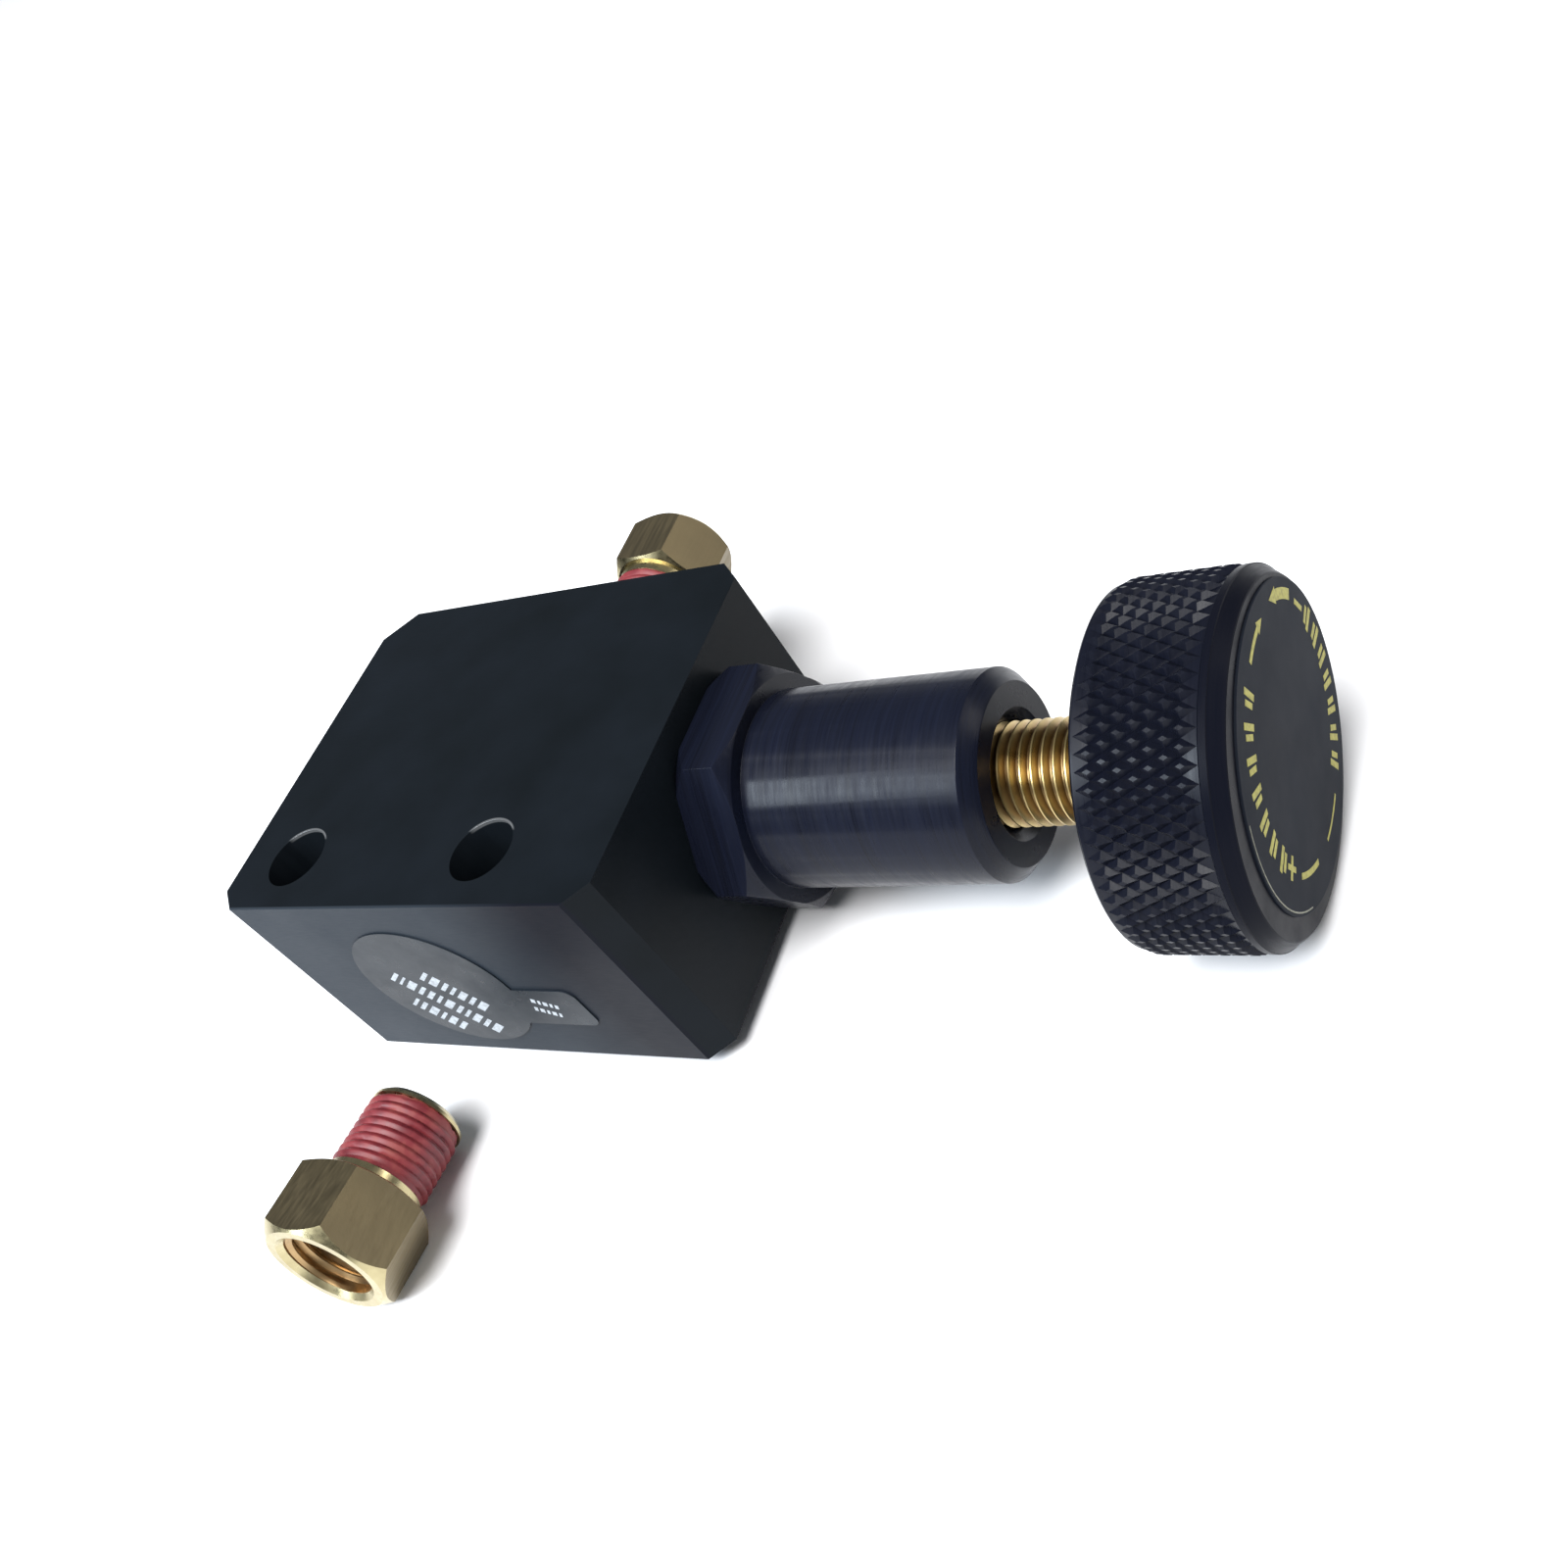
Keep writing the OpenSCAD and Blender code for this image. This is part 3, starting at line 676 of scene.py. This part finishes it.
def slab(bm, outline, thick):
    """Thin closed plate from a flat outline of (u, v) points."""
    low = [bm.verts.new((u, v, 0)) for u, v in outline]
    high = [bm.verts.new((u, v, thick)) for u, v in outline]
    bm.faces.new(list(reversed(low)))
    bm.faces.new(high)
    for i in range(len(outline)):
        j = (i + 1) % len(outline)
        bm.faces.new((low[i], low[j], high[j], high[i]))


def polar(r, degrees):
    return r * math.cos(math.radians(degrees)), r * math.sin(math.radians(degrees))


def arc_band(bm, r, width, a0, a1):
    """Curved band of a given width from angle a0 to a1, in degrees."""
    steps = max(2, int(abs(a1 - a0) / 4))
    angles = [a0 + (a1 - a0) * i / steps for i in range(steps + 1)]
    outer = [polar(r + width / 2, a) for a in angles]
    inner = [polar(r - width / 2, a) for a in reversed(angles)]
    slab(bm, outer + inner, FOIL)


def arrow_head(bm, r, degrees, way, size):
    """Triangle on the ring, pointing the way the angle grows (1) or falls (-1)."""
    half = size * 0.62
    tip = degrees + math.degrees(size / r) * way * 1.5
    slab(bm, [polar(r - half, degrees), polar(r + half, degrees), polar(r, tip)], FOIL)


def bar_group(bm, r, a0, a1, count):
    """Pairs of bold graduation bars, standing for a scale, spread from a0 to a1 degrees."""
    for i in range(count):
        a = a0 + (a1 - a0) * i / (count - 1)
        for turn_on, length, width in BARS:
            half = math.degrees(width / 2 * MM / r)
            low, high = r - length / 2 * MM, r + length / 2 * MM
            b = a + turn_on
            slab(bm, [polar(low, b - half), polar(high, b - half * 0.85),
                      polar(high, b + half * 0.85), polar(low, b + half)], FOIL)


def sign(bm, r, degrees, plus):
    """A plus or a minus, square to the radius."""
    centre = Vector(polar(r, degrees))
    out = Vector(polar(1, degrees))
    side = Vector((-out.y, out.x))
    long, short = 1.0 * MM, 0.24 * MM
    if plus:
        outline = ((-long, -short), (-short, -short), (-short, -long), (short, -long),
                   (short, -short), (long, -short), (long, short), (short, short),
                   (short, long), (-short, long), (-short, short), (-long, short))
    else:
        outline = ((-long, -short), (long, -short), (long, short), (-long, short))
    slab(bm, [centre + side * s + out * o for s, o in outline], FOIL)


def build_label_marks():
    """Arrows, signs and bars round the label, and the thin pale line by its edge, a painted highlight."""
    r = MARKS_R
    bm = bmesh.new()
    # angles grow anticlockwise from +Y, as seen from the knob's front
    sign(bm, r, 24, False)
    bar_group(bm, r, -61, 12, 7)
    arc_band(bm, r + 0.3 * MM, 0.95 * MM, 36, 54)
    arrow_head(bm, r + 0.3 * MM, 54, 1, 1.15 * MM)
    arc_band(bm, r + 0.5 * MM, 0.30 * MM, -100, -76)
    arc_band(bm, r + 0.3 * MM, 0.55 * MM, -141, -117)
    sign(bm, r - 0.2 * MM, -154, True)
    bar_group(bm, r - 0.2 * MM, 116, 195, 7)
    arc_band(bm, r, 0.50 * MM, 83, 101)
    arrow_head(bm, r, 83, -1, 0.95 * MM)
    # local u is +Y, which is left to right as seen from the front
    upright = Matrix(((0, 0, 1, 0), (1, 0, 0, 0), (0, 1, 0, 0), (0, 0, 0, 1)))
    centre = Vector((LABEL_FACE_X, LABEL_Y, LABEL_Z))
    marks_at = centre + Vector((0, *MARKS_OFF))
    piece("label_marks", bm, [GOLD], "adjuster", Matrix.Translation(marks_at) @ upright)
    # painted highlight: a pale arc along part of the label's edge
    rim = bmesh.new()
    arc_band(rim, LABEL_R - 0.35 * MM, 0.13 * MM, 156, 230)
    piece("label_edge_painted_highlight", rim, [RIM], "adjuster", Matrix.Translation(centre) @ upright)


# ---------------------------------------------------------------- fittings
FLATS, BEVELS, MOUTH = 0, 1, 2  # a fitting's material slots
HEX_EASE = 0.22 * MM  # an end face is this much smaller than the flats
HEX_SIDES = 96
FLARE_DEPTH = 7 * MM
FLARE_R = 3.4 * MM
MOUTH_CHAMFER = 0.55 * MM
RELIEF = 0.18 * MM
THROUGH_R = 1.75 * MM
PIPE_BORE_R = 2.6 * MM
TIP_R = PIPE_R - PIPE_LEN * PIPE_TAPER
THREAD_START = -PIPE_LEN + 1.2 * MM
NECK_DROP = 0.12 * MM


def hexagon_shell(af, hex_len):
    """Hexagon with its bevels, and the inverted flare socket in its mouth."""
    corner = af / math.sqrt(3)
    face_r = af / 2 - HEX_EASE
    seat = hex_len - FLARE_DEPTH

    def bevel(z_face, way, depth):
        """Ring on the hexagon's sides, whose corners are cut back the furthest."""
        ring = []
        for i in range(HEX_SIDES):
            a = TAU * i / HEX_SIDES
            r = hex_radius(a, af)
            z = z_face + way * (0.05 * MM + depth * (r - face_r) / (corner - face_r))
            ring.append(Vector((r * math.cos(a), r * math.sin(a), z)))
        return ring

    def plain(points):
        return [circle(r, z, HEX_SIDES) for r, z in points]

    # round the rear face, up the sides, over the mouth's face and down inside it
    loops = plain([(PIPE_R - 0.6 * MM, 0), (face_r, 0)])
    loops += [bevel(0, 1, 0.55 * MM), bevel(hex_len, -1, 1.05 * MM)]
    loops += plain([(face_r, hex_len), (TUBE_R + MOUTH_CHAMFER, hex_len),
                    (TUBE_R, hex_len - MOUTH_CHAMFER), (TUBE_R, seat + 1.7 * MM),
                    (TUBE_R + RELIEF, seat + 1.5 * MM), (TUBE_R + RELIEF, seat), (FLARE_R, seat),
                    (THROUGH_R + 0.1 * MM, seat + 1.55 * MM), (THROUGH_R, seat + 1.45 * MM),
                    (THROUGH_R, 0)])
    bm = bmesh.new()
    faces = rings(bm, loops, closed=True)
    for k in range(len(loops)):
        look = FLATS if k == 2 else MOUTH if 6 <= k <= 12 else BEVELS
        for f in faces[k * HEX_SIDES:(k + 1) * HEX_SIDES]:
            f.material_index = look
    soften(bm, 0.07 * MM)
    return bm


def build_fitting(name, body, node, hexagon, place):
    """Adapter fitting: hexagon with bevels and an inverted flare socket, and a tapered pipe thread."""
    af, hex_len = hexagon
    bm = bmesh.new()
    merge(bm, hexagon_shell(af, hex_len))
    core = TIP_R - PIPE_DEPTH
    neck = PIPE_R - NECK_DROP
    end = -PIPE_LEN
    # the tip's bevel, the thread's core and the neck by the hexagon, round the way through
    turned(bm, [(PIPE_BORE_R, end), (TIP_R - 0.55 * MM, end), (TIP_R - 0.05 * MM, end + 0.5 * MM),
                (TIP_R - 0.03 * MM, end + 0.85 * MM), (core, end + 0.95 * MM),
                (core + (PIPE_LEN - 1.4 * MM) * PIPE_TAPER, -1.4 * MM), (neck, -1.15 * MM),
                (neck, 0.4 * MM), (1.9 * MM, 0.4 * MM), (1.9 * MM, -2.0 * MM),
                (PIPE_BORE_R, -2.2 * MM)], closed=True, slot=BEVELS)
    ridge(bm, core + 0.02 * MM, TIP_R - 0.02 * MM, THREAD_START, -1.25 * MM, PIPE_PITCH, PIPE_TAPER,
          slot=BEVELS)
    # tube nut thread inside the mouth
    ridge(bm, TUBE_R, TUBE_R - 0.50 * MM, hex_len - 4.9 * MM, hex_len - 0.95 * MM, UNF_PITCH, slot=MOUTH)
    piece(name, bm, [FLAT_BRASS_PAINTED_SHADE, BEVEL_BRASS_PAINTED_REFLECTION, MOUTH_BRASS], body, place, [node])


def build_sealant(name, body, node, z0, z1, place, seed):
    """Coat of sealant that follows the thread and fills most of its grooves, ragged at both ends."""
    crest = TIP_R + 0.03 * MM + PIPE_TAPER * (z0 + PIPE_LEN)
    base = crest - 0.30 * MM
    inner = base - 0.5 * MM
    grow = PIPE_TAPER * (z1 - z0)
    bm = bmesh.new()
    turned(bm, [(inner, z0), (base, z0), (base + grow, z1), (inner + grow, z1)], closed=True)
    first = THREAD_START + math.ceil((z0 + 0.2 * MM - THREAD_START) / PIPE_PITCH) * PIPE_PITCH
    ridge(bm, base, crest, first, z1 - 0.15 * MM, PIPE_PITCH, PIPE_TAPER,
          wobble=0.03 * MM, flat=0.18, fill=0.96)
    for v in bm.verts:
        n = noise.noise(v.co * 1400 + Vector((seed, 0, 0)))
        radial = Vector((v.co.x, v.co.y, 0)).normalized()
        v.co += radial * (n * 0.016 * MM - 0.004 * MM)
        if v.co.z > z1 - 0.3 * MM or v.co.z < z0 + 0.3 * MM:
            v.co.z += n * 0.35 * MM
    piece(name, bm, [SEALANT], body, place, [node], sharp=math.radians(50))


def build_fittings():
    """The outlet fitting, screwed part way into the block, and the inlet fitting, lying loose."""
    port = MOUNTS["outlet_tube_port"]["pos_m"]
    root = Vector((port[0], BLOCK_HI.y + OUTLET_GAP, port[2]))
    place = Matrix.Translation(root) @ turn(-QUARTER, "X") @ turn(OUTLET_ROLL, "Z")
    build_fitting("outlet_fitting_detail", "valve_body", "outlet_fitting", OUTLET_HEX, place)
    build_sealant("outlet_sealant_coat", "valve_body", "outlet_sealant",
                  -OUTLET_GAP + 0.1 * MM, -1.0 * MM, place, 5)

    pin = MOUNTS["inlet_fitting_thread"]
    root = Vector(pin["pos_m"]) - Vector(pin["axis"]) * pin["dims"]["length_mm"] * MM
    place = (Matrix.Translation(root) @ turn(LOOSE_YAW, "Z") @ turn(TABLE_TILT, "Y")
             @ turn(QUARTER - LOOSE_LIFT, "X"))
    build_fitting("inlet_fitting_detail", "loose_fitting", "inlet_fitting", INLET_HEX, place)
    build_sealant("inlet_sealant_coat", "loose_fitting", "inlet_sealant",
                  -PIPE_LEN + 1.0 * MM, -1.2 * MM, place, 0)


# ---------------------------------------------------------------- inlet port thread and sticker
def build_port_thread():
    """Pipe thread inside the inlet port, seen when the sticker is off."""
    port = MOUNTS["inlet_port"]
    r = port["dims"]["r_mm"] * MM
    bm = bmesh.new()
    ridge(bm, r, r - 0.55 * MM, 0.5 * MM, 8.8 * MM, PIPE_PITCH)
    mouth = (port["pos_m"][0], BLOCK_LO.y, port["pos_m"][2])
    place = Matrix.Translation(mouth) @ turn(-QUARTER, "X")
    piece("inlet_port_thread", bm, [ANODISED], "valve_body", place)


PRINT = 0.012 * MM
STICKER_R = (STICKER_HI.z - STICKER_LO.z) / 2
STICKER_X = STICKER_LO.x + STICKER_R
STICKER_Z = (STICKER_HI.z + STICKER_LO.z) / 2
FILM_THICK = STICKER_HI.y - STICKER_LO.y - PRINT
TAB_HEIGHT = 6.1 * MM
TAB_CORNER = 1.3 * MM
# Greeked print, in mm: a block's centre from the sticker's, its turn in degrees, its letters' height,
# the gap between dashes, and each line's rise above the centre with the widths of its dashes
BIG_PRINT = ((-1.5, -2.8), -53, 2.1, 0.48,
             ((3.7, (0.5, 0.9, 0.5, 0.4, 0.8, 0.5, 0.9)),
              (0, (0.5, 0.3, 0.9, 0.5, 0.6, 0.4, 0.9, 0.5, 0.4, 0.8, 0.5, 0.9)),
              (-3.7, (0.4, 0.5, 0.9, 0.4, 0.8, 0.6))))
TAB_PRINT = ((12.2, -3.1), -23, 0.7, 0.26,
             ((0.8, (0.5, 0.3, 0.5, 0.3, 0.4)),
              (-0.8, (0.4, 0.5, 0.3, 0.5, 0.3))))


def print_block(bm, centre, degrees, height, gap, lines):
    """Lines of dashes that stand for print, turned as one block on the sticker."""
    turn_on = Matrix.Rotation(math.radians(degrees), 2)
    for rise, widths in lines:
        u = -(sum(widths) + gap * (len(widths) - 1)) / 2
        for w in widths:
            corners = ((u, -height / 2), (u + w, -height / 2), (u + w, height / 2), (u, height / 2))
            slab(bm, [(Vector(centre) + turn_on @ Vector((a, b + rise))) * MM for a, b in corners], PRINT)
            u += w + gap


def build_sticker():
    """Round film with a lifting tab and eased edges, and its print."""
    reach = STICKER_HI.x - STICKER_X
    round_end = 360 - math.degrees(math.asin(TAB_HEIGHT / STICKER_R))
    outline = [polar(STICKER_R, round_end * i / 96) for i in range(97)]
    corner_x = reach - TAB_CORNER
    tab = [(corner_x, -TAB_HEIGHT)]
    tab += [(corner_x + TAB_CORNER * math.sin(t), -TAB_HEIGHT + TAB_CORNER - TAB_CORNER * math.cos(t))
            for t in (math.radians(18 * k) for k in range(1, 6))]
    tab += [(corner_x + TAB_CORNER * math.cos(t), -TAB_CORNER + TAB_CORNER * math.sin(t))
            for t in (math.radians(18 * k) for k in range(0, 6))]
    bm = bmesh.new()
    slab(bm, outline + tab, FILM_THICK)
    soften(bm, 0.035 * MM, math.radians(40))
    place = Matrix.Translation((STICKER_X, STICKER_HI.y, STICKER_Z)) @ turn(QUARTER, "X")
    piece("sticker_film", bm, [FILM], "port_sticker", place, ["inlet_port_sticker"])

    marks = bmesh.new()
    print_block(marks, *BIG_PRINT)
    print_block(marks, *TAB_PRINT)
    place = Matrix.Translation((STICKER_X, STICKER_HI.y - FILM_THICK, STICKER_Z)) @ turn(QUARTER, "X")
    piece("sticker_print", marks, [WHITE], "port_sticker", place)


# ---------------------------------------------------------------- preload spring
WIRE_R = 0.65 * MM
COIL_TURNS = 5.5
COIL_STEPS = 132
WIRE_SIDES = 12


def build_spring():
    """Preload spring inside the bonnet, built as one fixed coil."""
    coil_r = (SPRING_HI.z - SPRING_LO.z) / 2 - WIRE_R
    first, last = SPRING_LO.x + WIRE_R, SPRING_HI.x - WIRE_R
    loops = []
    for i in range(COIL_STEPS + 1):
        along = TAU * COIL_TURNS * i / COIL_STEPS
        x = first + (last - first) * i / COIL_STEPS
        section = []
        for j in range(WIRE_SIDES):
            a = TAU * j / WIRE_SIDES
            r = coil_r + WIRE_R * math.cos(a)
            y = AXIS_Y + r * math.cos(along)
            z = AXIS_Z + r * math.sin(along)
            section.append(Vector((x + WIRE_R * math.sin(a), y, z)))
        loops.append(section)
    bm = bmesh.new()
    rings(bm, loops)
    made = shape("preload_spring_coils", bm, [SPRING_STEEL])
    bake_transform(made)
    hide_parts("preload_spring")


# ---------------------------------------------------------------- CAD nodes that stay
CAD_LOOKS = {
    "body_block": ANODISED, "bonnet": BONNET_BLACK, "seat_insert": BUSH_BRASS, "piston_guide": BUSH_BRASS,
    "poppet_seal": RUBBER, "bonnet_o_ring": RUBBER, "rod_o_ring": RUBBER, "guide_o_ring": RUBBER,
    "retaining_ring": STEEL, "lower_spring_seat": STEEL, "spring_button": STEEL, "thrust_ball": STEEL,
    "piston": STEEL, "knob_set_screw": STEEL}
EASED_EDGES = {"body_block": 0.22 * MM, "bonnet": 0.14 * MM}


def dress_cad():
    """Gives each CAD node that stays its material, and softens the two that are seen."""
    for node, material in CAD_LOOKS.items():
        shown = frame["nodes"][node]
        shown.data.materials.clear()
        shown.data.materials.append(material)
    for node, width in EASED_EDGES.items():
        shown = frame["nodes"][node]
        shown.modifiers.new("weld", "WELD").merge_threshold = 1e-6
        bevel = shown.modifiers.new("edge", "BEVEL")
        bevel.width = width
        bevel.segments = 3
        bevel.limit_method = "ANGLE"
        bevel.angle_limit = math.radians(24)
        bevel.harden_normals = True


# ---------------------------------------------------------------- table, light and camera
TABLE_HALF = 3.0
TABLE_DROP = 0.02 * MM
LIGHTS_AIM = Vector((0.03, AXIS_Y, 0.01))
SKY = (0.9, 0.94, 1.0)
SKY_STRENGTH = 0.24

VIEW_AZIMUTH = 46.81
VIEW_ELEVATION = 38.52
VIEW_ROLL = math.radians(-37.28)
CAMERA_AT = Vector((122.03, -65.92, 109.20)) * MM
LENS = 36.59


def build_stage():
    """Pale table under the block's lower edge and the knob."""
    bm = bmesh.new()
    corners = ((-TABLE_HALF, -TABLE_HALF), (TABLE_HALF, -TABLE_HALF), (TABLE_HALF, TABLE_HALF),
               (-TABLE_HALF, TABLE_HALF))
    bm.faces.new([bm.verts.new((x, y, 0)) for x, y in corners])
    mesh = bpy.data.meshes.new("table")
    bm.to_mesh(mesh)
    bm.free()
    mesh.materials.append(TABLE)
    table = bpy.data.objects.new("table", mesh)
    bpy.context.scene.collection.objects.link(table)
    table.location = (BLOCK_LO.x, AXIS_Y, BLOCK_LO.z - TABLE_DROP)
    table.rotation_euler = (0, TABLE_TILT, 0)


def from_the_front(azimuth, elevation):
    """Direction out of the model: azimuth turns from -Y towards +X."""
    a, e = math.radians(azimuth), math.radians(elevation)
    return Vector((math.sin(a) * math.cos(e), -math.cos(a) * math.cos(e), math.sin(e)))


def area_light(name, azimuth, elevation, distance, size, watts, tint=(1, 1, 1)):
    back = from_the_front(azimuth, elevation)
    light = bpy.data.lights.new(name, "AREA")
    light.shape = "DISK"
    light.size = size
    light.energy = watts
    light.color = tint
    holder = bpy.data.objects.new(name, light)
    holder.location = LIGHTS_AIM + back * distance
    holder.rotation_mode = "QUATERNION"
    holder.rotation_quaternion = (-back).to_track_quat("-Z", "Y")
    bpy.context.scene.collection.objects.link(holder)


def build_lights():
    area_light("overhead", 10, 66, 2.4, 1.5, 105)
    area_light("front_left", -35, 42, 0.8, 0.30, 5, (0.80, 0.90, 1.0))
    area_light("right_rim", 120, 30, 0.8, 0.3, 1.0, (1.0, 0.96, 0.9))
    world = bpy.data.worlds.new("studio")
    bpy.context.scene.world = world
    world.use_nodes = True
    sky = world.node_tree.nodes["Background"]
    sky.inputs["Color"].default_value = (*SKY, 1)
    sky.inputs["Strength"].default_value = SKY_STRENGTH


def build_camera():
    back = from_the_front(VIEW_AZIMUTH, VIEW_ELEVATION)
    data = bpy.data.cameras.new("camera")
    data.sensor_width = 36
    data.lens = LENS
    data.clip_start = 0.005
    data.clip_end = 50
    camera = bpy.data.objects.new("camera", data)
    aimed = (-back).to_track_quat("-Z", "Y").to_matrix().to_4x4()
    camera.matrix_world = Matrix.Translation(CAMERA_AT) @ aimed @ turn(VIEW_ROLL, "Z")
    bpy.context.scene.collection.objects.link(camera)
    bpy.context.scene.camera = camera


build_camera()
build_lights()
build_stage()
dress_cad()
build_stem()
build_knob()
build_label()
build_label_marks()
build_fittings()
build_port_thread()
build_sticker()
build_spring()
bpy.context.scene.view_settings.view_transform = "Standard"

bpy.context.view_layer.update()
